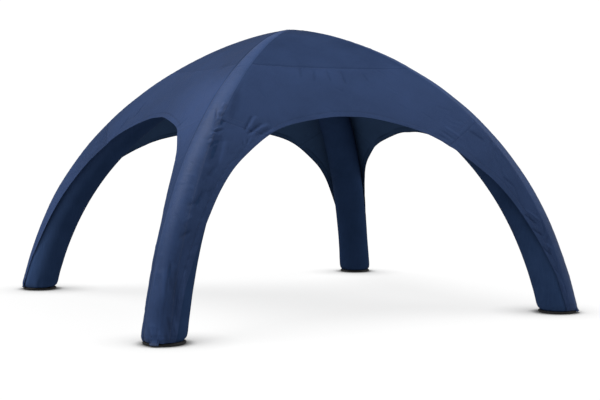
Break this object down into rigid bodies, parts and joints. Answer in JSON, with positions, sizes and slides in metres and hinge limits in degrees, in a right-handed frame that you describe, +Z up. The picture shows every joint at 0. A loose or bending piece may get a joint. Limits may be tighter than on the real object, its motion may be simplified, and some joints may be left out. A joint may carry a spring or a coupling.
{
  "type": "inflatable x-shaped tent",
  "caption": "Inflatable event tent: arched air-filled legs cross at the crown and carry a tight fabric cover with an arched opening on every side; it stands free on flat soles.",
  "frame": {"origin": "centre of the footprint on the ground, under the flat soles", "axes": "+Z up; the front opening faces -Y; +X to the right seen from the front"},
  "size_m": [4.9846, 4.9846, 3.1795],
  "materials": {
    "cover_cloth": "navy coated polyester, low sheen",
    "ridge_cloth": "navy coated polyester, low sheen",
    "beam_cloth": "dark navy woven sleeve, matt",
    "sole_pad": "black, matt"
  },
  "bodies": {
    "root": {"air_beam_front_left": "beam_cloth", "ridge_strip_front_left": "ridge_cloth", "foot_sole_front_left": "sole_pad", "foot_tab_front_left": "ridge_cloth", "air_beam_front_right": "beam_cloth", "ridge_strip_front_right": "ridge_cloth", "foot_sole_front_right": "sole_pad", "foot_tab_front_right": "ridge_cloth", "air_beam_back_right": "beam_cloth", "ridge_strip_back_right": "ridge_cloth", "foot_sole_back_right": "sole_pad", "foot_tab_back_right": "ridge_cloth", "air_beam_back_left": "beam_cloth", "ridge_strip_back_left": "ridge_cloth", "foot_sole_back_left": "sole_pad", "foot_tab_back_left": "ridge_cloth", "crown_panel_front": "cover_cloth", "side_panel_front": "cover_cloth", "leg_panel_front_left_front": "cover_cloth", "leg_panel_front_right_front": "cover_cloth", "crown_panel_right": "cover_cloth", "side_panel_right": "cover_cloth", "leg_panel_front_right_right": "cover_cloth", "leg_panel_back_right_right": "cover_cloth", "crown_panel_back": "cover_cloth", "side_panel_back": "cover_cloth", "leg_panel_back_right_back": "cover_cloth", "leg_panel_back_left_back": "cover_cloth", "crown_panel_left": "cover_cloth", "side_panel_left": "cover_cloth", "leg_panel_back_left_left": "cover_cloth", "leg_panel_front_left_left": "cover_cloth"}
  },
  "joints": []
}
